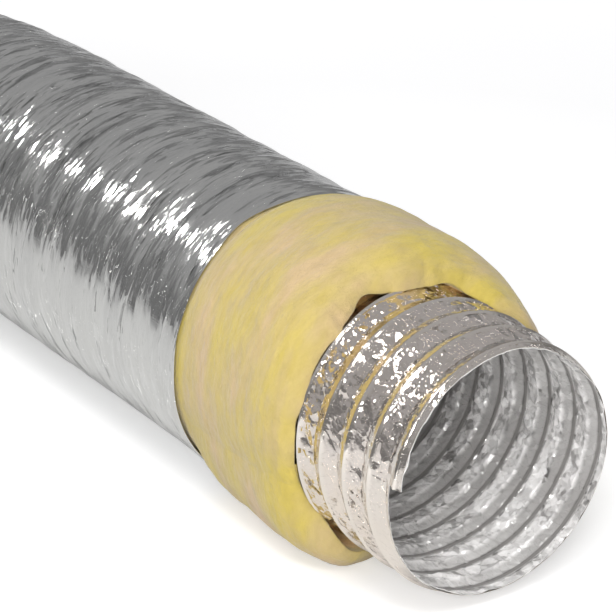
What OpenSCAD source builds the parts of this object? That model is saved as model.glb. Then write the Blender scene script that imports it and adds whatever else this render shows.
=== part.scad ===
// Insulated flexible air duct, cut to length.
// A wire-reinforced foil core runs through a glass wool blanket, and a foil jacket wraps the blanket.
// Both are pushed back from the mouth, so the core and the blanket show.
// Origin: on the core's axis at its mouth. +X leaves the mouth, +Z is up, the duct lies on its belly.
// "Behind" and every value whose name ends in _at are distances back from the mouth, along the duct.

/* [Core] */
// Clear bore of the core
core_bore_d = 203.2; // [150:0.1:260]
// Thickness of one ply of film
film_t = 0.5; // [0.4:0.1:1]
// Distance between two turns of the wire, along the duct
wire_pitch = 31; // [24:0.5:45]
// Diameter of the spring wire
wire_d = 1.4; // [1:0.1:2.5]
// Height of a rib over the valley behind it
rib_h = 2.4; // [2:0.1:5]
// Share of the pitch that the steep side of a rib takes
rib_steep = 0.25; // [0.1:0.01:0.4]
// Angle above level, on the left seen from the mouth, where the cut end steps back
lip_step_angle = 10; // [0:1:60]
// Length of that step
lip_step = 15; // [14:1:24]

/* [Blanket] */
// Thickness of the blanket, pressed by the jacket
blanket_t = 20; // [15:0.5:40]
// Free space between the core's ribs and the blanket
core_gap = 0.3; // [0.2:0.1:2]
// How far the core has sunk into the blanket
core_sag = 9; // [0:0.5:10]
// Width of the butt joint where the blanket's edges meet
seam_w = 1; // [0.5:0.5:3]
// Direction of that joint, from the right hand side seen from the mouth
seam_angle = 60; // [20:5:160]
// Radius of the blanket's cut edge
blanket_edge_r = 18; // [4:1:19]
// Length of core that shows in front of the blanket
core_shown = 120; // [60:1:160]

/* [Jacket] */
// Free space between the blanket and the jacket
jacket_gap = 0.3; // [0.2:0.1:2]
// How deep the duct is pressed flat where it lies
belly_flat = 3; // [2:0.5:8]
// Length of blanket that shows in front of the jacket
blanket_shown = 145; // [80:1:180]

/* [Lengths] */
// Turns of wire that keep their spacing at the mouth
mouth_turns = 2; // [2:1:3]
// Turns behind them that stretch and fold up
stretch_turns = 4; // [3:1:6]
// Turns in the straight front run
front_turns = 13; // [12:1:24]
// Turns in the bend that lifts
lift_turns = 4; // [3:1:8]
// Turns in the bend that turns sideways
side_turns = 5; // [4:1:10]
// Turns behind the bends
rear_turns = 4; // [2:1:16]
// Length of the blanket's free end that slides as one piece
blanket_end_l = 110; // [60:1:130]
// Length of blanket in front of the bends that does not gather up
blanket_root_l = 170; // [60:1:170]
// Length of the jacket's front end that slides as one piece
jacket_cuff_l = 75; // [40:1:90]
// Length of jacket in front of the bends that does not gather up
jacket_root_l = 25; // [10:1:70]

/* [Bend at rest] */
// How far the duct turns aside in its sideways bend
rest_bend = 15; // [5:1:30]

/* [Hidden] */

// Colours
foil_colour = [0.74, 0.73, 0.72];
inner_foil_colour = [0.62, 0.61, 0.60];
jacket_colour = [0.66, 0.65, 0.64];
wool_colour = [0.86, 0.79, 0.42];
wire_colour = [0.45, 0.45, 0.46];

// Roundness of plain tubes, and the flats round a wound form
$fn = 96;
turn_sides = 24;
shown_wire_sides = 6;
hidden_wire_sides = 4;
flat_share = cos(180 / turn_sides);

// Radii, measured from the core's axis
ply_gap = 0.1;
bore_r = core_bore_d / 2;
inner_ply_r = bore_r + film_t;
valley_r = (inner_ply_r + ply_gap) / flat_share;
ridge_r = valley_r + rib_h;
wire_clear = 0.3;
wire_r = wire_d / 2;
wire_path_r = ridge_r - wire_r - wire_clear;
core_r = ridge_r + film_t;
blanket_bore_r = core_r + core_gap;

// Radii, measured from the jacket's axis, and the level of the floor under it
blanket_r = core_r + blanket_t;
jacket_in_r = blanket_r + jacket_gap;
jacket_r = jacket_in_r + film_t;
floor_drop = jacket_r - belly_flat;

// Where each stretch ends, in whole turns behind the first full turn of wire
// The valley behind the wire's cut end lies just in front of the foot of the lip's step
first_turn_at = wire_pitch * (1 - rib_steep) - 0.25;
mouth_at = first_turn_at + wire_pitch * mouth_turns;
stretch_at = mouth_at + wire_pitch * stretch_turns;
front_at = stretch_at + wire_pitch * front_turns;
lift_at = front_at + wire_pitch * lift_turns;
side_at = lift_at + wire_pitch * side_turns;
rear_at = side_at + wire_pitch * rear_turns;
blanket_end_at = core_shown + blanket_end_l;
blanket_gather_at = front_at - blanket_root_l;
jacket_cut_at = core_shown + blanket_shown;
jacket_cuff_at = jacket_cut_at + jacket_cuff_l;
jacket_gather_at = front_at - jacket_root_l;

// The sideways bend is an arc round this point
bend_r = (side_at - lift_at) / (rest_bend * PI / 180);
bend_centre = [-lift_at, -bend_r, 0];

// ---- The duct's path ----

// Angle of the sideways bend at a distance behind the mouth
function bend_at(at) = max(0, min(rest_bend, (at - lift_at) / bend_r * 180 / PI));

// Point of the core's axis, and the direction to its right, at a distance behind the mouth
function right_of(at) = let (a = bend_at(at)) [-sin(a), cos(a), 0];
function axis_point(at) =
    at <= lift_at ? [-at, 0, 0] :
    let (past = max(0, at - side_at), a = bend_at(at))
    bend_centre + bend_r * right_of(at) - past * [cos(a), sin(a), 0];

// Point at a radius round that axis; the angle runs clockwise from the left, seen from the mouth
function duct_point(at, angle, r) =
    axis_point(at) + r * (sin(angle) * [0, 0, 1] - cos(angle) * right_of(at));

// ---- The wire's helix, counted in turns from its cut end ----

// The lip falls back by one step over a turn, most of it just behind the step
lip_fall = 2.5;
function lip_at(turn) = -lip_step * pow(1 - turn, lip_fall);

// Distance of the wire behind the mouth
function wire_at(turn) = first_turn_at + wire_pitch * (turn - 1);

function wire_angle(turn) = lip_step_angle + 360 * turn;
function wire_centre(turn) = duct_point(wire_at(turn), wire_angle(turn), wire_path_r);

// Turns at the ends of the stretches
mouth_turn = 1 + mouth_turns;
stretch_turn = mouth_turn + stretch_turns;
front_turn = stretch_turn + front_turns;
lift_turn = front_turn + lift_turns;
side_turn = lift_turn + side_turns;
rear_turn = side_turn + rear_turns;

// Least gap between neighbouring turns, on points of the wire's path
path_points = [for (i = [0 : rear_turn * turn_sides]) wire_centre(i / turn_sides)];
half_turn = turn_sides / 2;
last_point = len(path_points) - 1;
gaps = [
    for (i = [0 : last_point - half_turn], j = [i + half_turn : min(last_point, i + turn_sides + half_turn)])
        norm(path_points[i] - path_points[j])
];
echo(least_gap_of_wire_to_itself_mm = min(gaps) - wire_d);

// ---- Sections across the duct: x is to the right, y is up, from the core's axis ----

// A disc round the jacket's axis, pressed flat below
module belly_disc(r, drop) {
    translate([0, core_sag])
        intersection() {
            circle(r);
            translate([-r, -drop]) square([2 * r, drop + r]);
        }
}

module jacket_section() {
    difference() {
        belly_disc(jacket_r, floor_drop);
        belly_disc(jacket_in_r, floor_drop - film_t);
    }
}

module blanket_section() {
    difference() {
        belly_disc(blanket_r, floor_drop - film_t - jacket_gap);
        circle(blanket_bore_r);
        rotate(seam_angle) translate([0, -seam_w / 2]) square([2 * jacket_r, seam_w]);
    }
}

module tube_section(inside_r) {
    difference() {
        circle(inside_r + film_t);
        circle(inside_r);
    }
}

// ---- Sweeps of a section ----

// Straight, between two distances behind the mouth
module straight(from, to) {
    translate([-to, 0, 0]) rotate([90, 0, 90]) linear_extrude(to - from) children();
}

// Round the sideways bend
module bent() {
    translate(bend_centre) rotate([0, 0, 90])
        rotate_extrude(angle = rest_bend, $fn = 360) translate([bend_r, 0]) children();
}

// Straight, behind the sideways bend
module past_bend() {
    translate(bend_centre) rotate([0, 0, rest_bend]) translate(-bend_centre)
        straight(lift_at, lift_at + rear_at - side_at) children();
}

// ---- Wound forms ----

function quad(a, b, c, d) = [[a, b, c], [a, c, d]];

// Wire between two whole turns
module wire(from, to, sides) {
    last = (to - from) * turn_sides;
    points = [
        for (i = [0 : last], k = [0 : sides - 1])
            let (turn = from + i / turn_sides, b = 360 * k / sides)
            duct_point(wire_at(turn) + wire_r * cos(b), wire_angle(turn), wire_path_r + wire_r * sin(b))
    ];
    walls = [
        for (i = [0 : last - 1], k = [0 : sides - 1])
            let (a = i * sides, b = a + sides, next = (k + 1) % sides)
            each quad(b + k, b + next, a + next, a + k)
    ];
    caps = [
        for (k = [1 : sides - 2]) each [
            [0, k, k + 1],
            [last * sides, last * sides + k + 1, last * sides + k]
        ]
    ];
    color(wire_colour) polyhedron(points, concat(walls, caps));
}

// Inside radius at the lip, which lies on the slope in front of the first ridge
function slope_at(turn) = ridge_r - rib_h * (wire_at(turn) - lip_at(turn)) / ((1 - rib_steep) * wire_pitch);

// Ribbed ply between two whole turns: each ridge lies on the wire, with its steep side behind it.
// At turn 0 it can begin at the stepped lip.
module ribbed_ply(from, to, lip = false) {
    last = (to - from) * turn_sides;
    ribs = [
        for (i = [0 : last])
            let (turn = from + i / turn_sides, at = wire_at(turn), angle = wire_angle(turn))
            each [
                duct_point(at, angle, ridge_r + film_t),
                duct_point(at, angle, ridge_r),
                duct_point(at + rib_steep * wire_pitch, angle, valley_r + film_t),
                duct_point(at + rib_steep * wire_pitch, angle, valley_r)
            ]
    ];
    n = turn_sides;
    lips = [
        for (i = [0 : n])
            let (turn = i / n)
            each [
                duct_point(lip_at(turn), wire_angle(turn), slope_at(turn) + film_t),
                duct_point(lip_at(turn), wire_angle(turn), slope_at(turn))
            ]
    ];
    // Numbers of the points: ridge, valley and lip, each outside and inside
    function ro(i) = 4 * i;
    function ri(i) = 4 * i + 1;
    function vo(i) = 4 * i + 2;
    function vi(i) = 4 * i + 3;
    function lo(i) = len(ribs) + 2 * i;
    function li(i) = len(ribs) + 2 * i + 1;
    steep = [
        for (i = [0 : last - 1]) each concat(
            quad(ro(i + 1), ro(i), vo(i), vo(i + 1)),
            quad(ri(i), ri(i + 1), vi(i + 1), vi(i)))
    ];
    gentle = [
        for (i = [(lip ? 1 : 0) : last - n - 1]) each concat(
            quad(vo(i + 1), vo(i), ro(i + n), ro(i + n + 1)),
            quad(vi(i), vi(i + 1), ri(i + n + 1), ri(i + n)))
    ];
    rear_edge = [
        for (i = [last - n : last - 1]) each quad(vo(i + 1), vo(i), vi(i), vi(i + 1))
    ];
    rear_step = concat(
        quad(ro(last), vo(last), vi(last), ri(last)),
        quad(vo(last - n), ro(last), ri(last), vi(last - n)));
    plain_front = concat(
        [for (i = [0 : n - 1]) each quad(ro(i), ro(i + 1), ri(i + 1), ri(i))],
        quad(vo(0), ro(0), ri(0), vi(0)),
        quad(ro(n), vo(0), vi(0), ri(n)));
    lip_front = concat(
        [
            for (i = [0 : n - 1]) each concat(
                quad(lo(i), lo(i + 1), li(i + 1), li(i)),
                quad(lo(i + 1), lo(i), ro(i), ro(i + 1)),
                quad(li(i), li(i + 1), ri(i + 1), ri(i)))
        ],
        [
            [vo(1), vo(0), lo(n)], [vo(1), lo(n), ro(n + 1)], [lo(n), ro(n), ro(n + 1)],
            [vi(0), vi(1), li(n)], [li(n), vi(1), ri(n + 1)], [ri(n), li(n), ri(n + 1)]
        ],
        quad(ro(0), lo(0), li(0), ri(0)),
        quad(vo(0), ro(0), ri(0), vi(0)),
        quad(lo(n), vo(0), vi(0), li(n)));
    polyhedron(
        lip ? concat(ribs, lips) : ribs,
        concat(steep, gentle, rear_edge, rear_step, lip ? lip_front : plain_front));
}

// Room for everything between two distances behind the mouth
module slab(from, to) {
    translate([-to, -jacket_r, -jacket_r]) cube([to - from, 2 * jacket_r, 2 * jacket_r]);
}

// What the stepped cut takes away in front of the lip, in two half turns
module lip_cut() {
    in_r = bore_r / 2;
    out_r = jacket_r;
    front = -3 * lip_step;
    steps = turn_sides / 2;
    for (half = [0, 1]) {
        points = [
            for (i = [0 : steps])
                let (turn = (half + i / steps) / 2, angle = wire_angle(turn))
                each [
                    duct_point(lip_at(turn), angle, in_r),
                    duct_point(lip_at(turn), angle, out_r),
                    duct_point(front, angle, out_r),
                    duct_point(front, angle, in_r)
                ]
        ];
        walls = [
            for (i = [0 : steps - 1], k = [0 : 3])
                let (a = 4 * i, b = a + 4, next = (k + 1) % 4)
                each quad(b + k, b + next, a + next, a + k)
        ];
        end = 4 * steps;
        polyhedron(points, concat(walls, quad(0, 1, 2, 3), quad(end + 3, end + 2, end + 1, end)));
    }
}

// ---- Core: inner ply, wire and outer ply ----

module inner_ply() {
    color(inner_foil_colour) children();
}

module outer_ply() {
    color(foil_colour) children();
}

module inner_ply_mouth() {
    inner_ply() difference() {
        straight(-lip_step, mouth_at) tube_section(bore_r);
        lip_cut();
    }
}

module wire_mouth() {
    wire(0, mouth_turn, shown_wire_sides);
}

module outer_ply_mouth() {
    outer_ply() intersection() {
        ribbed_ply(0, mouth_turn + 1, lip = true);
        slab(-2 * lip_step, mouth_at);
    }
}

module inner_ply_stretch() {
    inner_ply() straight(mouth_at, stretch_at) tube_section(bore_r);
}

module wire_stretch() {
    wire(mouth_turn, stretch_turn, shown_wire_sides);
}

module outer_ply_stretch() {
    outer_ply() intersection() {
        ribbed_ply(mouth_turn - 1, stretch_turn + 1);
        slab(mouth_at, stretch_at);
    }
}

module inner_ply_front() {
    inner_ply() straight(stretch_at, front_at) tube_section(bore_r);
}

module wire_front() {
    wire(stretch_turn, front_turn, hidden_wire_sides);
}

module outer_ply_front() {
    outer_ply() straight(stretch_at, front_at) tube_section(ridge_r);
}

module inner_ply_lift() {
    inner_ply() straight(front_at, lift_at) tube_section(bore_r);
}

module wire_lift() {
    wire(front_turn, lift_turn, hidden_wire_sides);
}

module outer_ply_lift() {
    outer_ply() straight(front_at, lift_at) tube_section(ridge_r);
}

module inner_ply_side() {
    inner_ply() bent() tube_section(bore_r);
}

module wire_side() {
    wire(lift_turn, side_turn, hidden_wire_sides);
}

module outer_ply_side() {
    outer_ply() bent() tube_section(ridge_r);
}

module inner_ply_rear() {
    inner_ply() past_bend() tube_section(bore_r);
}

module wire_rear() {
    wire(side_turn, rear_turn, hidden_wire_sides);
}

module outer_ply_rear() {
    outer_ply() past_bend() tube_section(ridge_r);
}

// ---- Blanket ----

module wool() {
    color(wool_colour) children();
}

// A bar round the jacket's axis whose front edge is rounded
module round_front(from, to, r, edge_r) {
    translate([-to, 0, core_sag]) rotate([0, 90, 0]) rotate_extrude() {
        square([r, to - from - edge_r]);
        square([r - edge_r, to - from]);
        translate([r - edge_r, to - from - edge_r]) circle(edge_r);
    }
}

module blanket_end() {
    wool() intersection() {
        straight(core_shown, blanket_end_at) blanket_section();
        round_front(core_shown, blanket_end_at, blanket_r, blanket_edge_r);
    }
}

module blanket_gather() {
    wool() straight(blanket_end_at, blanket_gather_at) blanket_section();
}

module blanket_front() {
    wool() straight(blanket_gather_at, front_at) blanket_section();
}

module blanket_lift() {
    wool() straight(front_at, lift_at) blanket_section();
}

module blanket_side() {
    wool() bent() blanket_section();
}

module blanket_rear() {
    wool() past_bend() blanket_section();
}

// ---- Jacket ----

module jacket() {
    color(jacket_colour) children();
}

module jacket_cuff() {
    jacket() straight(jacket_cut_at, jacket_cuff_at) jacket_section();
}

module jacket_gather() {
    jacket() straight(jacket_cuff_at, jacket_gather_at) jacket_section();
}

module jacket_front() {
    jacket() straight(jacket_gather_at, front_at) jacket_section();
}

module jacket_lift() {
    jacket() straight(front_at, lift_at) jacket_section();
}

module jacket_side() {
    jacket() bent() jacket_section();
}

module jacket_rear() {
    jacket() past_bend() jacket_section();
}

inner_ply_mouth();
wire_mouth();
outer_ply_mouth();
inner_ply_stretch();
wire_stretch();
outer_ply_stretch();
inner_ply_front();
wire_front();
outer_ply_front();
inner_ply_lift();
wire_lift();
outer_ply_lift();
inner_ply_side();
wire_side();
outer_ply_side();
inner_ply_rear();
wire_rear();
outer_ply_rear();
blanket_end();
blanket_gather();
blanket_front();
blanket_lift();
blanket_side();
blanket_rear();
jacket_cuff();
jacket_gather();
jacket_front();
jacket_lift();
jacket_side();
jacket_rear();
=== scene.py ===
import math

import bmesh
import bpy
import numpy as np
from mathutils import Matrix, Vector


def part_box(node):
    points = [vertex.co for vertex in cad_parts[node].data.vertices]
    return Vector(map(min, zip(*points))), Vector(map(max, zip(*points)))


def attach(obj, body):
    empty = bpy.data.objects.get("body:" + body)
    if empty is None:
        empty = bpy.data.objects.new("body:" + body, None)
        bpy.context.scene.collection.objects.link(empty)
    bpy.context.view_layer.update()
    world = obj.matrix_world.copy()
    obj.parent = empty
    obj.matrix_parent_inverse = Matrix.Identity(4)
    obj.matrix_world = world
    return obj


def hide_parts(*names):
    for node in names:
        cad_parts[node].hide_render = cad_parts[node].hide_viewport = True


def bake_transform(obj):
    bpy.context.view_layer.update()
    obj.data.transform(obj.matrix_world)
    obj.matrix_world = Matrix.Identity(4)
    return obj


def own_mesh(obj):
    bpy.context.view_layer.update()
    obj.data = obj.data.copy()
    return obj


# Lengths are in millimetres up to the meshes, which are in metres like the frame.
# "at" is a distance behind the mouth, measured along the duct.
# Angles round the duct run clockwise from its left side, seen from the mouth: 0 left, 90 top. Functions
# take them in radians. Those in named values are in degrees, except where math.radians turns them.

MM = 0.001
TAU = 2 * math.pi

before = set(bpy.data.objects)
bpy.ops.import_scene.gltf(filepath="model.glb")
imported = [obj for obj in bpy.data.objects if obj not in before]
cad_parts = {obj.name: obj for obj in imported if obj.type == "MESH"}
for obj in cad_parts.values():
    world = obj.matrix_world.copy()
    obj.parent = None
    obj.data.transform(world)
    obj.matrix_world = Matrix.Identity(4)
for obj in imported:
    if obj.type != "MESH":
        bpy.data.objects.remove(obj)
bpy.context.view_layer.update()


# ---- Sizes taken from the frame ----

def span_behind_mouth(node):
    """Nearest and furthest distance of a straight node behind the mouth."""
    low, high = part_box(node)
    return -high.x / MM, -low.x / MM


def half_width(node):
    low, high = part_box(node)
    return (high.y - low.y) / 2 / MM


MOUTH_AT, STRETCH_AT = span_behind_mouth("inner_ply_stretch")
FRONT_AT, LIFT_AT = span_behind_mouth("inner_ply_lift")
BLANKET_FRONT_AT, BLANKET_END_AT = span_behind_mouth("blanket_end")
BLANKET_GATHER_AT = span_behind_mouth("blanket_gather")[1]
JACKET_CUT_AT, JACKET_CUFF_AT = span_behind_mouth("jacket_cuff")
JACKET_GATHER_AT = span_behind_mouth("jacket_gather")[1]
CORE_R = half_width("outer_ply_front")
JACKET_R = half_width("jacket_cuff")
JACKET_AXIS_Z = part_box("jacket_cuff")[1].z / MM - JACKET_R
FLOOR_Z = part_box("jacket_cuff")[0].z / MM

# ---- Sizes of the duct's own ----

REST_BEND = math.radians(15)
SIDE_BEND_LENGTH = 155
REAR_LENGTH = 124
SIDE_AT = LIFT_AT + SIDE_BEND_LENGTH
REAR_AT = SIDE_AT + REAR_LENGTH
BEND_R = SIDE_BEND_LENGTH / REST_BEND

# The wire, and the film that falls in between its turns
PITCH = 31
WIRE_R = 0.7
WIRE_SIDES = 8
FIRST_TURN_AT = 23
RIDGE_R = CORE_R - 0.4
WIRE_SINK = 0.3
RIB_H = 3.9
RIB_ROUNDNESS = 0.85
STEEP_SHARE = 0.42
PLY_T = 0.3
WALL_MIN = 0.7

# The film's free edge before the first turn, which starts with a step
LIP_STEP = 15
LIP_STEP_ANGLE = math.radians(10)
LIP_FALL = 2.5
LIP_CALM = 0.35

# Where the layers are cut into pieces that bend at one joint each
CORE_SPLIT_AT = 320
BLANKET_SPLIT_AT = 515
JACKET_SPLIT_AT = 600


# ---- The duct's path ----

def duct_points(at, angle, r, axis_z=0.0):
    """Points at a radius round the duct's axis, which axis_z lifts."""
    at, angle, r, axis_z = np.broadcast_arrays(at, angle, r, axis_z)
    turn = np.clip((at - LIFT_AT) / BEND_R, 0, REST_BEND)
    past = np.maximum(at - SIDE_AT, 0)
    aside = -r * np.cos(angle)
    x = -np.minimum(at, LIFT_AT) - BEND_R * np.sin(turn) - past * np.cos(turn) - aside * np.sin(turn)
    y = -BEND_R * (1 - np.cos(turn)) - past * np.sin(turn) + aside * np.cos(turn)
    return np.stack([x, y, axis_z + r * np.sin(angle)], -1)


# ---- Relief of crumpled film and wool ----

# A kind of crease or swell is named by its length along the duct, its width round it and its seed.
# A hump is a height, and a middle and half width in degrees.
# A _FROM_TO is the span over which something comes in, from none to all of it.
LATTICE_ROWS = 512
CREASE_SKEW = 0.45


def smooth(x):
    return x * x * (3 - 2 * x)


def ramp(x, low, high):
    """From 0 at low to 1 at high, smoothly."""
    return smooth(np.clip((x - low) / (high - low), 0, 1))


def cells(u, v, columns, seed):
    """Random heights from -1 to 1 at the corners of the cell round each point, and the place in it."""
    heights = np.random.default_rng(seed).uniform(-1, 1, (LATTICE_ROWS, columns))
    i, j = np.floor(u).astype(int), np.floor(v).astype(int)

    def corner(a, b):
        return heights[(i + a) % LATTICE_ROWS, (j + b) % columns]

    return corner(0, 0), corner(1, 0), corner(0, 1), corner(1, 1), u - i, v - j


def waves(u, v, columns, seed):
    """Smooth noise. v repeats after a number of columns."""
    h00, h10, h01, h11, fu, fv = cells(u, v, columns, seed)
    fu, fv = smooth(fu), smooth(fv)
    return (h00 * (1 - fu) + h10 * fu) * (1 - fv) + (h01 * (1 - fu) + h11 * fu) * fv


def creases(u, v, columns, seed):
    """Flat facets between random heights."""
    h00, h10, h01, h11, fu, fv = cells(u, v, columns, seed)
    return np.where(fu > fv,
                    h00 + fu * (h10 - h00) + fv * (h11 - h10),
                    h00 + fv * (h01 - h00) + fu * (h11 - h01))


def crumple(at, angle, r, length, width, seed):
    """Creased film with facets of about that length along the duct and that width round it."""
    columns = max(3, round(TAU * r / width))
    u, v = at / length, angle / TAU * columns
    du = creases(u, v, columns, seed + 1)
    dv = creases(u, v, columns, seed + 2)
    return creases(u + CREASE_SKEW * du, v + CREASE_SKEW * dv, columns, seed)


def swell(at, angle, r, length, width, seed):
    """Smooth relief of about that length along the duct and that width round it."""
    columns = max(3, round(TAU * r / width))
    return waves(at / length, angle / TAU * columns, columns, seed)


def bump(x, centre, half_width):
    """A smooth hump of height 1."""
    return np.exp(-((x - centre) / half_width) ** 2)


def degrees(angle):
    """Degrees from -90, at the bottom, round to 270."""
    return (np.degrees(angle) + 90) % 360 - 90


def round_off(share, curve):
    """Rises steeply from 0 and levels out at 1."""
    return (1 - (1 - share) ** 2) ** curve


def humps(angle, rows):
    """Sum of smooth humps round the duct."""
    return sum(height * bump(degrees(angle), middle, half) for height, middle, half in rows)


# ---- Meshes ----

def shade(piece, smooth):
    piece.data.polygons.foreach_set("use_smooth", [smooth] * len(piece.data.polygons))


def make_mesh(name, points, faces, duct):
    """A piece from points in millimetres and groups of faces with as many corners each.
    duct holds each point's place on the unbent duct, for its material."""
    mesh = bpy.data.meshes.new(name)
    groups = [np.asarray(g) for g in faces]
    corners = np.concatenate([g.ravel() for g in groups])
    sizes = np.concatenate([np.full(len(g), g.shape[1]) for g in groups])
    mesh.vertices.add(len(points))
    mesh.vertices.foreach_set("co", (np.asarray(points) * MM).ravel())
    mesh.loops.add(len(corners))
    mesh.loops.foreach_set("vertex_index", corners.astype(np.int32))
    mesh.polygons.add(len(sizes))
    mesh.polygons.foreach_set("loop_start", (np.cumsum(sizes) - sizes).astype(np.int32))
    mesh.update(calc_edges=True)
    mesh.validate()
    piece = bpy.data.objects.new(name, mesh)
    bpy.context.scene.collection.objects.link(piece)
    attribute = mesh.attributes.new("duct", "FLOAT_VECTOR", "POINT")
    attribute.data.foreach_set("vector", (np.asarray(duct) * MM).ravel())
    shade(piece, True)
    return piece


def add_layer(piece, name, values):
    layer = piece.data.attributes.new(name, "FLOAT", "POINT")
    layer.data.foreach_set("value", np.asarray(values, np.float32).ravel())


def on_duct(at, angle, r):
    """Place on the unbent duct, whose textures then don't slide when it bends."""
    at, angle, r = np.broadcast_arrays(at, angle, r)
    return np.stack([at, -r * np.cos(angle), r * np.sin(angle)], -1)


def grid_faces(point_id, columns, rows):
    """Quads over a grid whose points point_id numbers."""
    i, j = np.meshgrid(np.arange(columns), np.arange(rows), indexing="ij")
    return np.stack([point_id(i, j), point_id(i + 1, j), point_id(i + 1, j + 1), point_id(i, j + 1)], -1)


def tube_faces(rows, columns, rows_join, columns_join):
    """Quads over rows of points. Where rows or columns join, the last one meets the first."""
    def point_id(i, j):
        return i % rows * columns + j % columns

    quads = grid_faces(point_id, rows - (not rows_join), columns - (not columns_join))
    return quads[..., [0, 3, 2, 1]].reshape(-1, 4)


CUT_TOLERANCE = 1e-7


def cut_piece(piece, at, keep_front):
    """Cuts a piece square to the duct at a distance behind the mouth.
    The cut is closed between the piece's two skins."""
    point = duct_points(at, 0.0, 0.0) * MM
    ahead = duct_points(at - 1, 0.0, 0.0) * MM - point
    bm = bmesh.new()
    bm.from_mesh(piece.data)
    cut = bmesh.ops.bisect_plane(
        bm, geom=bm.verts[:] + bm.edges[:] + bm.faces[:], dist=CUT_TOLERANCE,
        plane_co=point, plane_no=ahead, clear_inner=keep_front, clear_outer=not keep_front)
    edges = [e for e in cut["geom_cut"] if isinstance(e, bmesh.types.BMEdge) and e.is_boundary]
    bmesh.ops.bridge_loops(bm, edges=edges)
    bm.to_mesh(piece.data)
    bm.free()
    shade(piece, True)


def sharpen(piece):
    """Flat faces, so that the creases of the film stay sharp."""
    shade(piece, False)


# ---- Core: a spiral strip of film from one turn of the wire to the next ----

BIG_CREASES = (16, 14, 21)
SMALL_CREASES = (7.5, 6, 31)
CHIPS = (4.2, 4.2, 41)
CORE_SWELL = (60, 45, 11)
BUSY_PATCHES = (24, 38, 51)
LIP_CREASES = (60, 19, 61)

# Heights of big creases, small creases and chips
OUTSIDE_HEIGHTS = (0.80, 0.34, 0.26)
INSIDE_HEIGHTS = (1.5, 1.0, 0.25)
CORE_SWELL_H = 0.7
BUSY_FROM_TO = (-0.25, 0.35)

# How far the film bulges over the wire, and half the width of that bulge
BULGE_OUTSIDE = 0.85
BULGE_INSIDE = 0.95
BULGE_HALF_WIDTH = 1.7
INNER_PLY_DEPTH = 0.9

# Looseness on the steep side of a rib. Inside, the layer for the material is tighter at the lower right, and
# where it is tight the inner ply takes a painted dark shade: along the wires, on the steep sides and most at
# the lower right.
LOOSE_OUTSIDE = 0.10
LOOSE_INSIDE = 0.6
LOOSE_IN_MATERIAL = 0.82
TIGHTER_AND_SHADED_LOWER_RIGHT = [(0.62, 35, 60)]
# In shares of the pitch and in distance from the wire
LOOSE_FROM_TO = (0.26, 0.44)
LOOSE_FROM_WIRE = (1.0, 4.2)

# The free end is a little flat at its top right, and its cut edge isn't quite round
MOUTH_SAG = [(6.2, 128, 24)]
MOUTH_SAG_REACH = 32
LIP_WAVE = 0.9
LIP_WAVE_REACH = 9

# Share of the pitch at which the foot of the lip's step lies. The strip has a row there.
LIP_SHARE = 1 - FIRST_TURN_AT / PITCH
# Shares of the pitch with a row near the wire, and the span of the rows in between
ROWS_AT_WIRE = [0, 0.02, 0.045, 0.08, LIP_SHARE, 0.92, 0.955, 0.98]
ROWS_BETWEEN = (0.115, 0.89)
ROWS_PER_FINENESS = 9
CLEAR_OF_LIP_ROW = 0.01


def lip_at(turn):
    return -LIP_STEP * np.maximum(1 - turn, 0) ** LIP_FALL


def wire_at(turn):
    return FIRST_TURN_AT + PITCH * (turn - 1)


def turn_at(at):
    return 1 + (at - FIRST_TURN_AT) / PITCH


def wire_angle(turn):
    return LIP_STEP_ANGLE + TAU * turn


def strip_rows(fine):
    """Shares of the pitch at which the strip has its rows, from one turn of the wire to the next."""
    between = np.linspace(*ROWS_BETWEEN, ROWS_PER_FINENESS + ROWS_PER_FINENESS * fine)
    between = between[abs(between - LIP_SHARE) > CLEAR_OF_LIP_ROW]
    return np.sort(np.concatenate([ROWS_AT_WIRE, between]))


def near_mouth(at, reach):
    return np.exp(-np.maximum(at + LIP_STEP, 0) / reach)


def mouth_sag(at, angle):
    return humps(angle, MOUTH_SAG) * near_mouth(at, MOUTH_SAG_REACH)


def lip_wave(at, angle):
    return LIP_WAVE * crumple(at, angle, CORE_R, *LIP_CREASES) * near_mouth(at, LIP_WAVE_REACH)


def looseness(share, steep_side):
    """How free the film is to crumple: 0 over the wire, steep_side on the steep side, 1 on the other."""
    from_wire = np.minimum(share, 1 - share) * PITCH
    across = steep_side + (1 - steep_side) * ramp(share, *LOOSE_FROM_TO)
    return across * ramp(from_wire, *LOOSE_FROM_WIRE)


def core_shape(at, angle, share, calm):
    """Radius of the outer ply's outside and of the inner ply's inside. share runs from 0 on one turn to 1.
    calm: 1 where the film crumples in full, less on the lip."""
    fall = np.where(share < STEEP_SHARE, share / STEEP_SHARE, (1 - share) / (1 - STEEP_SHARE))
    from_wire = np.minimum(share, 1 - share) * PITCH
    film = RIDGE_R - RIB_H * fall ** RIB_ROUNDNESS + CORE_SWELL_H * swell(at, angle, CORE_R, *CORE_SWELL)
    film = film - mouth_sag(at, angle) + lip_wave(at, angle)
    loose, loose_inside = looseness(share, LOOSE_OUTSIDE) * calm, looseness(share, LOOSE_INSIDE)
    big = crumple(at, angle, CORE_R, *BIG_CREASES)
    small = crumple(at, angle, CORE_R, *SMALL_CREASES)
    chips = crumple(at, angle, CORE_R, *CHIPS)
    busy = ramp(swell(at, angle, CORE_R, *BUSY_PATCHES), *BUSY_FROM_TO)
    over_wire = np.sqrt(np.maximum(1 - (from_wire / BULGE_HALF_WIDTH) ** 2, 0))

    big_h, small_h, chips_h = OUTSIDE_HEIGHTS
    outside = film + loose * (big_h * big + small_h * small + chips_h * busy * chips)
    outside = outside + BULGE_OUTSIDE * over_wire
    big_h, small_h, chips_h = INSIDE_HEIGHTS
    inside = film - INNER_PLY_DEPTH + loose_inside * (big_h * big + small_h * small + chips_h * chips)
    inside = inside - BULGE_INSIDE * over_wire
    return outside, np.minimum(inside, outside - WALL_MIN)


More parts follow.
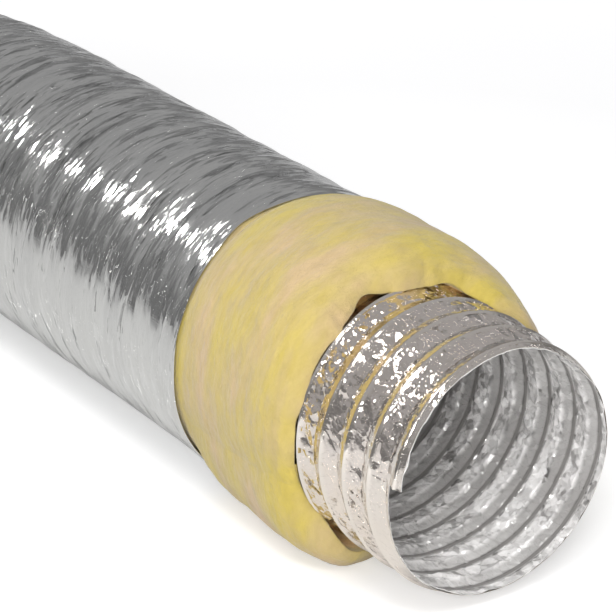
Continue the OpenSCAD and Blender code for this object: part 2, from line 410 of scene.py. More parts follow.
def place_list(at, angle, share, calm):
    return np.stack(np.broadcast_arrays(at, angle, share, calm), -1).reshape(-1, 4)


def core_skins(first_turn, last_turn, steps, fine):
    """Places on the core between two turns of the wire, as a spiral strip, and its faces.
    A place is a distance behind the mouth, an angle, a share of the pitch and how calm the film is."""
    rows = strip_rows(fine)
    count = len(rows)
    lip_row = int(np.argmin(abs(rows - LIP_SHARE)))
    columns = round((last_turn - first_turn) * steps)
    turn = first_turn + np.arange(columns + steps + 1)[:, None] / steps
    at = wire_at(turn) + (wire_at(turn + 1) - wire_at(turn)) * rows
    places = [place_list(at, wire_angle(turn), rows, 1.0)]

    def strip_id(i, j):
        return (i + j // count * steps) * count + j % count

    faces = [grid_faces(strip_id, columns, count)]
    if first_turn == 0:
        lip_rows = (rows[lip_row:] - LIP_SHARE) / (1 - LIP_SHARE)
        lips = len(lip_rows)
        start = len(places[0])
        lip_turn = np.arange(steps)[:, None] / steps
        lip_place = lip_at(lip_turn) + (wire_at(lip_turn) - lip_at(lip_turn)) * lip_rows
        lip_share = 1 - (wire_at(lip_turn) - lip_place) / PITCH
        places.append(place_list(lip_place, wire_angle(lip_turn), lip_share, LIP_CALM))

        def lip_id(i, j):
            on_lip = start + i * lips + j
            on_step = strip_id(0 * i, lip_row + j)
            return np.where(j == lips, strip_id(i, 0 * j), np.where(i == steps, on_step, on_lip))

        faces.append(grid_faces(lip_id, steps, lips))
    return np.concatenate(places), np.concatenate([f.reshape(-1, 4) for f in faces])


def shell(name, outside, inside, faces, duct, loose):
    """A closed thin piece between two skins that share their faces."""
    used = np.unique(faces)
    renumber = np.full(len(outside), -1)
    renumber[used] = np.arange(len(used))
    faces = renumber[faces]
    outside, inside, duct, loose = outside[used], inside[used], duct[used], loose[used]
    n = len(used)
    start, end = faces.ravel(), np.roll(faces, -1, axis=1).ravel()
    on_rim = ~np.isin(start * n + end, end * n + start)
    start, end = start[on_rim], end[on_rim]
    walls = np.stack([end, start, start + n, end + n], -1)
    skins = [faces, faces[:, ::-1] + n, walls]
    piece = make_mesh(name, np.concatenate([outside, inside]), skins, np.concatenate([duct, duct]))
    add_layer(piece, "loose", np.concatenate([loose, loose]))
    return piece


def core_piece(name, first_turn, last_turn, steps, fine):
    """Both plies between two turns of the wire. steps: columns in a turn. fine: density of the rows."""
    places, faces = core_skins(first_turn, last_turn, steps, fine)
    at, angle, share, calm = places.T
    outer_r, inner_r = core_shape(at, angle, share, calm)
    duct = on_duct(at, angle, CORE_R)
    # Inside, the material's steep side is tighter at the lower right: smoother, and painted darker there as
    # shade
    inner_steep_side_and_shade = LOOSE_IN_MATERIAL - humps(angle - TAU / 2, TIGHTER_AND_SHADED_LOWER_RIGHT)
    skins = {
        "outer_ply": (outer_r, outer_r - PLY_T, looseness(share, LOOSE_OUTSIDE) * calm),
        "inner_ply": (inner_r + PLY_T, inner_r, looseness(share, inner_steep_side_and_shade)),
    }
    pieces = []
    for ply, (out_r, in_r, loose) in skins.items():
        outside, inside = duct_points(at, angle, out_r), duct_points(at, angle, in_r)
        pieces.append(shell(f"{ply}_{name}", outside, inside, faces, duct, loose))
    return pieces


def wire_piece(name, first_turn, last_turn, steps):
    turn = first_turn + np.arange(round((last_turn - first_turn) * steps) + 1)[:, None] / steps
    around = TAU * np.arange(WIRE_SIDES) / WIRE_SIDES
    along, angle = wire_at(turn), wire_angle(turn)
    at = along + WIRE_R * np.cos(around)
    middle = RIDGE_R - WIRE_SINK + CORE_SWELL_H * swell(along, angle, CORE_R, *CORE_SWELL)
    r = middle - mouth_sag(along, angle) + WIRE_R * np.sin(around)
    points = duct_points(at, angle, r).reshape(-1, 3)
    rings = len(turn)
    walls = tube_faces(rings, WIRE_SIDES, False, True)
    ring = np.arange(WIRE_SIDES)
    caps = np.array([ring[::-1], ring + (rings - 1) * WIRE_SIDES])
    return make_mesh(f"wire_{name}", points, [walls, caps], on_duct(at, angle, r).reshape(-1, 3))


# ---- Sleeves: the blanket and the jacket, swept round and along ----

OFF_FLOOR = 0.2


def sleeve(name, at, r, angle, closed=True):
    """A piece swept round the jacket's axis, with a row for each step along its closed section.
    One that isn't closed all the way round gets a wall at both ends."""
    angle = np.broadcast_to(angle, at.shape)
    points = duct_points(at, angle, r, JACKET_AXIS_Z)
    points[..., 2] = np.maximum(points[..., 2], FLOOR_Z + OFF_FLOOR)
    rows, columns = at.shape
    faces = [tube_faces(rows, columns, True, closed)]
    if not closed:
        ends = np.arange(rows) * columns
        faces += [ends[None, :], (ends[::-1] + columns - 1)[None, :]]
    piece = make_mesh(name, points.reshape(-1, 3), faces, on_duct(at, angle, r).reshape(-1, 3))
    if not closed:
        for wall in piece.data.polygons[-2:]:
            wall.use_smooth = False
    return piece


def angles(count):
    """One row of angles all the way round, from the bottom."""
    return (np.arange(count) / count * TAU - TAU / 4)[None, :]


# ---- Jacket ----

JACKET_T = 0.5
JACKET_OUT_R = JACKET_R - 0.4

FOLDS = (30, 80, 101)
SLANTED_FOLDS = (12, 44, 111)
WRINKLES = (5.5, 20, 121)
JACKET_SWELL = (70, 120, 131)
EDGE_SWELL = (40, 30, 141)
FOLD_H, SLANTED_FOLD_H, WRINKLE_H, JACKET_SWELL_H = 0.60, 0.75, 0.30, 0.35
RELIEF_MAX = 2

# Looseness on the underside, what is added elsewhere, and where the one turns into the other
TIGHT_SIDE = 0.6
LOOSER = 0.4
TIGHT_UP_TO = (-20, 20)
TIGHT_FROM = (215, 180)

# The wool pushes the jacket's open end outwards, most at the lower left
FLARE_ALL_ROUND = 0.8
FLARE_LOWER_LEFT = [(1.8, -48, 22)]
FLARE_FROM_TO = (JACKET_CUT_AT + 75, JACKET_CUT_AT - 10)
FLARE_CURVE = 1.5

# The cut edge: how far its effect reaches, how much lower and smoother it is, and its line
EDGE_REACH = 14
EDGE_TUCK = 0.8
EDGE_SMOOTHER = 0.6
EDGE_LINE = [(5, 62, 14), (-3, 105, 15), (-3, 5, 20)]
EDGE_SWELL_H = 1.2


def jacket_looseness(angle):
    deg = degrees(angle)
    return TIGHT_SIDE + LOOSER * ramp(deg, *TIGHT_UP_TO) * ramp(deg, *TIGHT_FROM)


def jacket_relief(at, angle):
    """At most RELIEF_MAX either way."""
    slanted = at + 5 * np.sin(2 * angle) + 3 * np.sin(5 * angle)
    return jacket_looseness(angle) * (
        FOLD_H * crumple(at, angle, JACKET_R, *FOLDS)
        + SLANTED_FOLD_H * crumple(slanted, angle, JACKET_R, *SLANTED_FOLDS)
        + WRINKLE_H * crumple(at, angle, JACKET_R, *WRINKLES)
    ) + JACKET_SWELL_H * swell(at, angle, JACKET_R, *JACKET_SWELL)


def jacket_flare(at, angle):
    return (FLARE_ALL_ROUND + humps(angle, FLARE_LOWER_LEFT)) * ramp(at, *FLARE_FROM_TO) ** FLARE_CURVE


def jacket_piece(name, front_at, rear_at, step, count):
    at = np.append(np.arange(front_at, rear_at - step / 2, step), rear_at)[:, None]
    place, angle = np.broadcast_arrays(at, angles(count))
    at_edge = ramp(place, JACKET_CUT_AT + EDGE_REACH, JACKET_CUT_AT)
    r = JACKET_OUT_R + jacket_relief(place, angle) * (1 - EDGE_SMOOTHER * at_edge) - EDGE_TUCK * at_edge
    r = r + jacket_flare(place, angle)
    cut = humps(angle, EDGE_LINE) + EDGE_SWELL_H * swell(place, angle, JACKET_R, *EDGE_SWELL)
    place = place + cut * at_edge
    r_all = np.concatenate([r, (r - JACKET_T)[::-1]])
    piece = sleeve(name, np.concatenate([place, place[::-1]]), r_all, angle[:1])
    add_layer(piece, "loose", np.broadcast_to(jacket_looseness(angle[:1]), r_all.shape))
    return piece


# ---- Blanket ----

# It stays under the deepest wrinkle of the jacket
WOOL_R = JACKET_OUT_R - RELIEF_MAX - JACKET_T - 0.2
WOOL_INSIDE_R = CORE_R - 1.1

BROAD_HOLLOWS = (50, 60, 201)
SMALL_HOLLOWS = (18, 26, 211)
WOOL_FOLDS = (9, 34, 271)
TUFTS = (4, 11, 281)
SMALL_TUFTS = (2.6, 4, 291)
BROAD_HOLLOW_H, SMALL_HOLLOW_H = 0.5, 0.3
WOOL_FOLD_H, TUFT_H, SMALL_TUFT_H = 0.40, 0.22, 0.14
# Out of the jacket the wool is free
FREE_FROM_TO = (JACKET_CUT_AT + 8, JACKET_CUT_AT - 12)

# The rolled edge reaches forward on the right and falls back near the top and at the lower left
EDGE_FORWARD = 2
REACH_RIGHT = 38
RIGHT_FROM = (108, 150)
RIGHT_UP_TO = (265, 215)
FALLS_BACK = [(12, 70, 13), (30, -60, 13)]
# Its pleats: height and kind of swell
PLEATS = [(1.8, (50, 34, 221)), (1.3, (50, 13, 231)), (0.7, (50, 5, 241))]
# Its section is nearly an ellipse, with a small round corner on the inside
ROLL_LENGTH = 30
ROLL_LENGTH_RIGHT = 55
ROLL_CURVE = 0.45
INNER_CORNER = 1.6
INNER_CORNER_SHARE = 0.35
# Where it stands off the core, and how far back
POCKETS = [(5.5, 70, 6), (4.5, 112, 7), (3, 200, 14)]
POCKET_REACH = 12
# The layer for the painted brown shade on the wool's inside comes in behind the wool's edge
GAP_SHADE_FROM_TO = (4, 14)
FLARE_GAP_SHADE_FROM_TO = (3, 16)
# Rows in the inner corner, and how the rows of the inside crowd towards the mouth
CORNER_ROWS = 8
INNER_SPACING = 1.4


def tufts(at, angle):
    """Folds and tufts of the wool's face."""
    return (
        WOOL_FOLD_H * swell(at + 6 * np.sin(3 * angle), angle, WOOL_R, *WOOL_FOLDS)
        + TUFT_H * swell(at, angle, WOOL_R, *TUFTS)
        + SMALL_TUFT_H * swell(at, angle, WOOL_R, *SMALL_TUFTS)
    )


def wool_outside(at, angle):
    free = ramp(at, *FREE_FROM_TO)
    hollows = BROAD_HOLLOW_H * (1 + swell(at, angle, WOOL_R, *BROAD_HOLLOWS))
    hollows = hollows + SMALL_HOLLOW_H * (1 + swell(at, angle, WOOL_R, *SMALL_HOLLOWS))
    return WOOL_R - hollows * free + tufts(at, angle) * free


def on_right(angle):
    return ramp(degrees(angle), *RIGHT_FROM) * ramp(degrees(angle), *RIGHT_UP_TO)


def blanket_front(angle):
    """Distance of the rolled edge behind the mouth."""
    pleats = sum(height * swell(0 * angle, angle, CORE_R, *kind) for height, kind in PLEATS)
    back = humps(angle, FALLS_BACK)
    return BLANKET_FRONT_AT - EDGE_FORWARD + pleats + back - REACH_RIGHT * on_right(angle)


def roll_length(angle):
    return ROLL_LENGTH + (ROLL_LENGTH_RIGHT - ROLL_LENGTH) * on_right(angle)


def inside_r(at, angle):
    """Radius of the blanket's inside, from the jacket's axis."""
    into = bump(np.maximum(at - blanket_front(angle), 0), 0, POCKET_REACH)
    return WOOL_INSIDE_R + humps(angle, POCKETS) * into - JACKET_AXIS_Z * np.sin(angle)


def edge_sizes(angle):
    """Distance of the rolled edge, its length, the radii at its inside and outside, and its inner corner."""
    front, length = blanket_front(angle), roll_length(angle)
    low, high = inside_r(front, angle), wool_outside(front + length, angle)
    return front, length, low, high, np.minimum(INNER_CORNER, INNER_CORNER_SHARE * (high - low))


def wool_profile(at, angle):
    """Radius of the blanket's outside from the jacket's axis, with its rolled edge."""
    front, length, low, high, corner = edge_sizes(angle)
    share = np.clip((at - front) / length, 0, 1)
    roll = low + corner + (high - low - corner) * round_off(share, ROLL_CURVE)
    return np.where(at < front + length, roll, wool_outside(at, angle))


def rolled_edge(angle, steps):
    """Rows of the section round the front edge, from the inside to the outside."""
    front, length, low, high, corner = edge_sizes(angle)
    rows_at, rows_r = [], []
    for t in np.linspace(0, 1, steps + 1)[:-1] * math.pi / 2:
        rows_at.append(front + corner * (1 - math.sin(t)))
        rows_r.append(low + corner * (1 - math.cos(t)))
    for t in np.linspace(0, 1, 2 * steps + 1)[:-1] * math.pi / 2:
        rows_at.append(front + length * (1 - math.cos(t)))
        rows_r.append(low + corner + (high - low - corner) * math.sin(t) ** (2 * ROLL_CURVE))
    return np.concatenate(rows_at), np.concatenate(rows_r)


def blanket_piece(name, front_at, rear_at, step, count, open_end):
    """The wool between two distances. open_end gives it the rolled front edge."""
    angle = angles(count)
    share = np.append(np.arange(0, 1, step / (rear_at - front_at)), 1)[:, None]
    first = blanket_front(angle) + roll_length(angle) if open_end else front_at + 0 * angle
    outer_at = first + (rear_at - first) * share
    inner_first = blanket_front(angle) + edge_sizes(angle)[4] if open_end else first
    inner_at = inner_first + (rear_at - inner_first) * share ** INNER_SPACING
    angle_all = np.broadcast_to(angle, outer_at.shape)
    rows_at, rows_r = [inner_at[::-1]], [inside_r(inner_at, angle_all)[::-1]]
    if open_end:
        edge_at, edge_r = rolled_edge(angle, CORNER_ROWS)
        rows_at.append(edge_at)
        rows_r.append(edge_r)
    rows_at.append(outer_at)
    rows_r.append(wool_outside(outer_at, angle_all))
    at = np.concatenate(rows_at)
    piece = sleeve(name, at, np.concatenate(rows_r), angle)
    inner = np.arange(len(at))[:, None] < len(share)
    # Painted shade: the inside behind the rolled edge takes the brown of the gap
    add_layer(piece, "gap", inner * ramp(at - blanket_front(angle), *GAP_SHADE_FROM_TO))
    return piece


# ---- Swellings of the wool in front of the jacket ----

# They are pieces of their own, sunk into the blanket at their borders.
# The front length of each goes with the blanket's end, and the rear one stays at the jacket's edge. They
# cross at SWELL_SPLIT_AT. Round the duct each has several sectors, each with a line of its own.
SWELL_SPLIT_AT = 200
SWELL_END_AT = JACKET_CUT_AT + 1.5
FALL_CURVE = 0.7
UNDER_JACKET = 6
FRONT_ROWS = 44
FRONT_SPACING = 1.5
REAR_ROWS = 26
# The two lengths run on past the place where they cross, and sink there: mm for each mm
LENGTH_OVERLAP = 14
LENGTH_SINK = 0.04
LENGTH_SINK_FROM = 12
# How far a sector reaches under the next, and how it sinks there: mm for each degree
SECTOR_OVERLAP = 3
SECTOR_SINK = 0.08
SECTOR_SINK_FROM = 4

TOP_ANGLES = (4, 176)
TOP_FULL_ANGLES = (60, 138)
TOP_HEIGHT = 9.5
TOP_LUMPS = (45, 60, 261)
TOP_LUMPS_H = 0.12
TOP_CREST_AT = 225
# How far behind the rolled edge it begins, starts to rise and, past the roll, is at its full height
TOP_BEGIN = 3
TOP_RISE = 4
TOP_FULL = 25
# Where it is lower than TOP_THIN it sinks into the blanket. Its underside is lower and further back.
TOP_THIN = 2
TOP_BORDER_SINK = 0.7
TOP_UNDER = 4

FLARE_ANGLES = (-94, -14)
FLARE_FULL_ANGLE = -48
FLARE_LOW_ANGLES = (-90, -60)
FLARE_LOW_SHARE = 0.6
# Angle and distance behind the mouth of the flare's front edge
FLARE_TIP = [
    (-97, 120), (-80, 112), (-70, 103), (-60, 95), (-52, 96),
    (-44, 105), (-36, 113), (-28, 118), (-13, 122), (10, 126)]
# Distance behind the mouth and height of the flare over the blanket
FLARE_HEIGHTS = [
    (60, 18), (110, 19), (132, 19), (160, 18.5), (190, 17), (215, 15.5), (240, 13.5), (265, 8)]
FLARE_CREST_AT = 240
FLARE_LUMPS = (40, 55, 251)
FLARE_LUMPS_H = 0.06
FLARE_BASE_R = WOOL_R - 0.4
FLARE_ROLL = 24
FLARE_ROLL_MORE = 10
FLARE_ROLL_ANGLES = (-20, -50)
FLARE_ROLL_CURVE = 0.55
FLARE_TIP_T = 1.5
# It stands off the core at its tip, and again further back
FLARE_POCKET = [(8.5, -55, 10)]
FLARE_POCKET_FROM_TO = (165, 120)
FLARE_RISE = 5
FLARE_RISE_FROM_TO = (150, 185)
# Under the jacket's edge it fills the jacket's flare, from the border to this angle
FLARE_EDGE_ANGLE = -30
# It sinks at its upper border, over FLARE_BORDER degrees
FLARE_BORDER = 12
FLARE_BORDER_SINK = 2.2
UNDER_JACKET_SINK = 3


def falls_to_jacket(at, crest_at):
    share = np.clip((SWELL_END_AT - at) / (SWELL_END_AT - crest_at), 0, 1)
    return round_off(share, FALL_CURVE)


def top_height(at, angle):
    """Height of the upper swelling over the blanket's outside."""
    deg = degrees(angle)
    round_it = ramp(deg, TOP_ANGLES[0], TOP_FULL_ANGLES[0]) * ramp(deg, TOP_ANGLES[1], TOP_FULL_ANGLES[1])
    front, length = blanket_front(angle), roll_length(angle)
    lumps = 1 + TOP_LUMPS_H * swell(at, angle, WOOL_R, *TOP_LUMPS)
    height = TOP_HEIGHT * lumps * round_it * falls_to_jacket(at, TOP_CREST_AT)
    return height * ramp(at, front + TOP_RISE, front + length + TOP_FULL)


def flare_tip(angle):
    return np.interp(degrees(angle), *zip(*FLARE_TIP))


def flare_inside(at, angle):
    pocket = humps(angle, FLARE_POCKET) * ramp(at, *FLARE_POCKET_FROM_TO)
    rise = FLARE_RISE * ramp(at, *FLARE_RISE_FROM_TO)
    return WOOL_INSIDE_R + pocket + rise - JACKET_AXIS_Z * np.sin(angle)


def flare_outside(at, angle):
    """Radius of the lower left swelling, which reaches forward under the core, from the jacket's axis."""
    deg = degrees(angle)
    low_share = FLARE_LOW_SHARE + (1 - FLARE_LOW_SHARE) * ramp(deg, *FLARE_LOW_ANGLES)
    round_it = ramp(deg, FLARE_ANGLES[1], FLARE_FULL_ANGLE) * low_share
    tip = flare_tip(angle)
    length = FLARE_ROLL + FLARE_ROLL_MORE * ramp(deg, *FLARE_ROLL_ANGLES)
    low = flare_inside(tip, angle) + FLARE_TIP_T
    lumps = 1 + FLARE_LUMPS_H * swell(at, angle, WOOL_R, *FLARE_LUMPS)
    height = np.interp(at, *zip(*FLARE_HEIGHTS)) * falls_to_jacket(at, FLARE_CREST_AT)
    high = FLARE_BASE_R + height * lumps * round_it + tufts(at, angle)
    under_jacket = jacket_flare(at, angle) * ramp(deg, FLARE_ANGLES[1], FLARE_EDGE_ANGLE)
    high = np.maximum(high, FLARE_BASE_R + under_jacket)
    share = np.clip((at - tip) / length, 0, 1)
    return low + (high - low) * round_off(share, FLARE_ROLL_CURVE)


def length_sink(at, is_front):
    """The two lengths of a swelling sink under each other past the place where they cross."""
    past = at - SWELL_SPLIT_AT if is_front else SWELL_SPLIT_AT - at
    return LENGTH_SINK * (np.maximum(past, -LENGTH_SINK_FROM) + LENGTH_SINK_FROM)


def swelling_rows(first, is_front):
    """Distances of a length's rows. The front one starts at first."""
    share = np.linspace(0, 1, FRONT_ROWS if is_front else REAR_ROWS)[:, None]
    if is_front:
        return first + (SWELL_SPLIT_AT + LENGTH_OVERLAP - first) * share ** FRONT_SPACING
    length = SWELL_END_AT + UNDER_JACKET - SWELL_SPLIT_AT + LENGTH_OVERLAP
    return SWELL_SPLIT_AT - LENGTH_OVERLAP + length * share + 0 * first


def sector_angles(sector, span, count):
    """Columns of a sector, which reaches a little under its neighbours, and how deep it sinks there."""
    low, high = sector
    first = low - SECTOR_OVERLAP * (low > span[0])
    last = high + SECTOR_OVERLAP * (high < span[1])
    deg = np.linspace(first, last, count)[None, :]
    sink = SECTOR_SINK * np.maximum(low + SECTOR_SINK_FROM - deg, 0) * (low > span[0])
    sink = sink + SECTOR_SINK * np.maximum(deg - high + SECTOR_SINK_FROM, 0) * (high < span[1])
    return np.radians(deg), sink


def top_swelling(name, is_front, sector, count):
    angle, sink = sector_angles(sector, TOP_ANGLES, count)
    at = swelling_rows(blanket_front(angle) + TOP_BEGIN, is_front)
    angle_all = np.broadcast_to(angle, at.shape)
    base = wool_profile(at, angle_all)
    height = top_height(at, angle_all)
    border_sink = TOP_BORDER_SINK * np.clip(1 - height / TOP_THIN, 0, 1)
    outside = base + height - border_sink - length_sink(at, is_front) - sink
    inside = np.minimum(base, wool_profile(at + TOP_UNDER, angle_all)) - TOP_UNDER
    rows_at = np.concatenate([at, at[::-1] + 1])
    return sleeve(name, rows_at, np.concatenate([outside, inside[::-1]]), angle, False)


def flare_swelling(name, is_front, sector, count):
    angle, sink = sector_angles(sector, FLARE_ANGLES, count)
    tip = flare_tip(angle)
    at = swelling_rows(tip, is_front)
    angle_all = np.broadcast_to(angle, at.shape)
    outside = flare_outside(at, angle_all) - length_sink(at, is_front) - sink
    border = 1 - ramp(degrees(angle_all), FLARE_ANGLES[1], FLARE_ANGLES[1] - FLARE_BORDER)
    outside = outside - FLARE_BORDER_SINK * border
    outside = np.where(at > SWELL_END_AT, np.minimum(outside, WOOL_R - UNDER_JACKET_SINK), outside)
    inside = np.minimum(flare_inside(at, angle_all), outside - FLARE_TIP_T)
    rows_at = np.concatenate([at, at[::-1]])
    piece = sleeve(name, rows_at, np.concatenate([outside, inside[::-1]]), angle, False)
    inner = np.arange(len(rows_at))[:, None] >= len(at)
    # Painted shade: the flare's inside behind its tip takes the brown of the gap
    add_layer(piece, "gap", inner * ramp(rows_at - tip, *FLARE_GAP_SHADE_FROM_TO))
    return piece


# ---- Materials ----

# How the borders between facets are bent: size in facets, and how far
WARP_SIZE = 1.5
WARP = 0.35
# Size of the patches of dull, rough and busy film, in big facets
DULL_PATCHES = 5
ROUGH_PATCHES = 2
BUSY_FILM_PATCHES = 7


def fill_ramp(elements, stops):
    """Sets the stops of a colour ramp. Each is a position and a colour."""
    while len(elements) < len(stops):
        elements.new(0.5)
    for element, (position, colour) in zip(elements, stops):
        element.position = position
        element.color = (*colour, 1)


class Nodes:
    """A material's node tree, with a short way to add and link nodes."""

    def __init__(self, name):
        self.material = bpy.data.materials.new(name)
        self.material.use_nodes = True
        self.tree = self.material.node_tree
        self.tree.nodes.clear()
        output = self.tree.nodes.new("ShaderNodeOutputMaterial")
        self.shader = self.tree.nodes.new("ShaderNodeBsdfPrincipled")
        self.tree.links.new(self.shader.outputs[0], output.inputs["Surface"])

    def add(self, kind, settings=None, **inputs):
        node = self.tree.nodes.new("ShaderNode" + kind)
        for key, value in (settings or {}).items():
            setattr(node, key, value)
        for key, value in inputs.items():
            self.set(node, key.replace("_", " "), value)
        return node

    def set(self, node, key, value):
        socket = node.inputs[int(key)] if key.isdigit() else node.inputs[key]
        if isinstance(value, bpy.types.NodeSocket):
            self.tree.links.new(value, socket)
        else:
            socket.default_value = value

    def layer(self, name):
        return self.add("Attribute", {"attribute_name": name}).outputs["Fac"]

    def calculate(self, operation, a, b):
        return self.add("Math", {"operation": operation}, **{"0": a, "1": b}).outputs[0]

    def vectors(self, operation, a, b, output="Vector"):
        node = self.add("VectorMath", {"operation": operation}, **{"0": a, "1": b})
        return node.outputs[output]

    def mix(self, share, a, b, blend="MIX"):
        """Colour a, or b where share is 1."""
        settings = {"data_type": "RGBA", "blend_type": blend}
        return self.add("Mix", settings, **{"0": share, "6": a, "7": b}).outputs[2]

    def duct_coordinates(self, along, around):
        """Coordinates in cells of that length along the duct and that width round it, in metres."""
        place = self.add("Attribute", {"attribute_name": "duct"}).outputs["Vector"]
        scale = (1 / along, 1 / around, 1 / around)
        return self.add("Mapping", Vector=place, Scale=scale).outputs["Vector"]

    def noise(self, along, around, detail=3.0, roughness=0.5):
        vector = self.duct_coordinates(along, around)
        node = self.add("TexNoise", Vector=vector, Scale=1.0, Detail=detail, Roughness=roughness)
        return node.outputs["Fac"]

    def ramp(self, value, stops):
        node = self.add("ValToRGB", Fac=value)
        fill_ramp(node.color_ramp.elements, stops)
        return node.outputs["Color"]

    def level(self, value, low, high, to_low, to_high):
        span = {"From_Min": low, "From_Max": high, "To_Min": to_low, "To_Max": to_high}
        return self.add("MapRange", Value=value, **span).outputs["Result"]

    def facets(self, along, around):
        """Height over flat facets of about that length and width, each tilted its own way."""
        wide = self.duct_coordinates(along * WARP_SIZE, around * WARP_SIZE)
        warp = self.add("TexNoise", Vector=wide, Scale=1.0, Detail=1.0).outputs["Color"]
        warp = self.add("VectorMath", {"operation": "SCALE"}, **{"0": warp, "Scale": WARP})
        place = self.vectors("ADD", self.duct_coordinates(along, around), warp.outputs["Vector"])
        voronoi = {"feature": "F1", "distance": "MANHATTAN"}
        cell = self.add("TexVoronoi", voronoi, Vector=place, Scale=1.0).outputs
        aside = self.vectors("SUBTRACT", place, cell["Position"])
        tilt = self.vectors("SUBTRACT", cell["Color"], (0.5, 0.5, 0.5))
        return self.vectors("DOT_PRODUCT", aside, tilt, "Value")

    def bump(self, height, distance, normal=None):
        node = self.add("Bump", Height=height, Distance=distance, Strength=1.0)
        if normal is not None:
            self.set(node, "Normal", normal)
        return node.outputs["Normal"]


def film_material(name, colour, dull_colour, tight_colour_and_shade, roughness, metallic, facets, calm):
    """Crumpled metallised film: flat facets, each tilted its own way, where the film is loose.
    roughness: least and most. The tight colour is where the film isn't loose; on the inner ply it is painted
    dark shade.
    facets: length along the duct, width round it and depth of each size of them, in metres.
    calm: share of the smallest ones' depth that is left in the quiet patches."""
    n = Nodes(name)
    long, wide, _ = facets[0]
    loose = n.layer("loose")
    patches = n.noise(long * DULL_PATCHES, wide * DULL_PATCHES)
    patchy = n.ramp(patches, [(0.35, dull_colour), (0.6, colour)])
    # Where the film is tight it takes the tight colour, which on the inner ply is painted dark shade
    n.set(n.shader, "Base Color", n.mix(loose, (*tight_colour_and_shade, 1), patchy))
    n.shader.inputs["Metallic"].default_value = metallic
    rough = n.noise(long * ROUGH_PATCHES, wide * ROUGH_PATCHES)
    n.set(n.shader, "Roughness", n.level(rough, 0.35, 0.65, *roughness))
    normal = None
    for number, (facet_long, facet_wide, depth) in enumerate(facets):
        height = n.calculate("MULTIPLY", n.facets(facet_long, facet_wide), loose)
        if number == len(facets) - 1:
            patches = n.noise(facet_long * BUSY_FILM_PATCHES, facet_wide * BUSY_FILM_PATCHES)
            height = n.calculate("MULTIPLY", height, n.level(patches, 0.44, 0.56, calm, 1.0))
        normal = n.bump(height, depth, normal)
    n.set(n.shader, "Normal", normal)
    return n.material


STRAW = (0.525, 0.41, 0.170)
TAN = (0.555, 0.41, 0.225)
LEMON = (0.555, 0.44, 0.105)
# Painted brown shade for the wool's inside, in the gap to the core
SHADE_BROWN = (0.86, 0.52, 0.17)
LIGHT_SHADE_BROWN = (0.90, 0.62, 0.24)
STRAND_SHADE = (0.88, 0.87, 0.83)
WHITE = (1.0, 1.0, 1.0)
# Textures of the wool: size along and round the duct in metres, detail and roughness
STREAKS = (0.030, 0.085, 3.0, 0.55)
STRANDS = (0.006, 0.020, 5.0, 0.6)
FIBRES = (0.0014, 0.005, 5.0, 0.7)
FINE_TUFTS = (0.010, 0.020, 4.0, 0.6)
FIBRE_DEPTH = 0.0006
FINE_TUFT_DEPTH = 0.0035

DARK_STEEL = (0.32, 0.32, 0.33)
LIGHT_STEEL = (0.48, 0.48, 0.49)
STEEL_STREAKS = (0.004, 0.02)
STEEL_GRAIN = (0.002, 0.002)


def wool_material():
    """Yellow glass wool: straw with lemon streaks round the duct, fine fibres, and painted brown shade in the
    gap.
    """
    n = Nodes("wool")
    streaks = n.noise(*STREAKS)
    colour = n.ramp(streaks, [(0.34, TAN), (0.48, STRAW), (0.66, LEMON)])
    strands = n.ramp(n.noise(*STRANDS), [(0.30, STRAND_SHADE), (0.60, WHITE)])
    colour = n.mix(1.0, colour, strands, "MULTIPLY")
    # Painted shade: brown on the wool's inside, where it stands in the shadow of the gap
    gap = n.layer("gap")
    shade_brown = n.ramp(streaks, [(0.3, SHADE_BROWN), (0.7, LIGHT_SHADE_BROWN)])
    n.set(n.shader, "Base Color", n.mix(gap, colour, shade_brown))
    n.shader.inputs["Roughness"].default_value = 0.95
    n.shader.inputs["Specular IOR Level"].default_value = 0.15
    n.shader.inputs["Sheen Weight"].default_value = 0.3
    fibres = n.noise(*FIBRES)
    fine_tufts = n.noise(*FINE_TUFTS)
    relief = n.bump(fine_tufts, FINE_TUFT_DEPTH)
    n.set(n.shader, "Normal", n.bump(fibres, FIBRE_DEPTH, relief))
    return n.material


def wire_material():
    n = Nodes("spring_wire")
    streaks = n.noise(*STEEL_STREAKS)
    n.set(n.shader, "Base Color", n.ramp(streaks, [(0.3, DARK_STEEL), (0.7, LIGHT_STEEL)]))
    n.shader.inputs["Metallic"].default_value = 1.0
    n.set(n.shader, "Roughness", n.level(n.noise(*STEEL_GRAIN), 0.3, 0.7, 0.25, 0.4))
    return n.material


def dress(piece, material, slot, *nodes):
    """Gives a piece its material and hides the CAD nodes that it replaces. The slot is not used."""
    piece.data.materials.append(material)
    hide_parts(*nodes)


# ---- Camera, floor and light ----

CAMERA_PLACE = (1.4807, -1.1666, 0.9624)
CAMERA_HEADING = math.radians(146.13)
CAMERA_DIP = math.radians(23.78)
CAMERA_LENS = 163.6
SENSOR_WIDTH = 36

FLOOR_SIZE = 40
# What the lights point at, in metres
MIDDLE = (-0.4, 0, 0)
MOUTH = (0, 0, 0)
# The floor's glow under the duct and further out, and the distances in between, in metres
FLOOR_GLOW = (0.36, 0.95)
GLOW_FROM_TO = (0.9, 3.5)
# Share of it that the foil mirrors
GLOW_IN_FOIL = 0.04
# Height of a direction and its grey
ROOM_GREY = [(0.0, 0.60), (0.015, 0.30), (0.05, 0.21), (0.30, 0.26), (0.48, 0.44), (1.0, 0.44)]
ROOM_BLUE = 1.02

# Place, what it points at, its two sides in metres and its power in watts
LIGHTS = {
    "key": ((-2.6, -1.2, 1.9), MIDDLE, (0.5, 0.35), 12),
    "crown": ((-1.05, -0.80, 1.87), MOUTH, (0.5, 0.3), 7),
    "top": ((1.0, -0.7, 1.8), MIDDLE, (0.9, 0.7), 20),
    "front": ((1.7, -1.5, 1.1), MOUTH, (0.8, 0.6), 40),
}


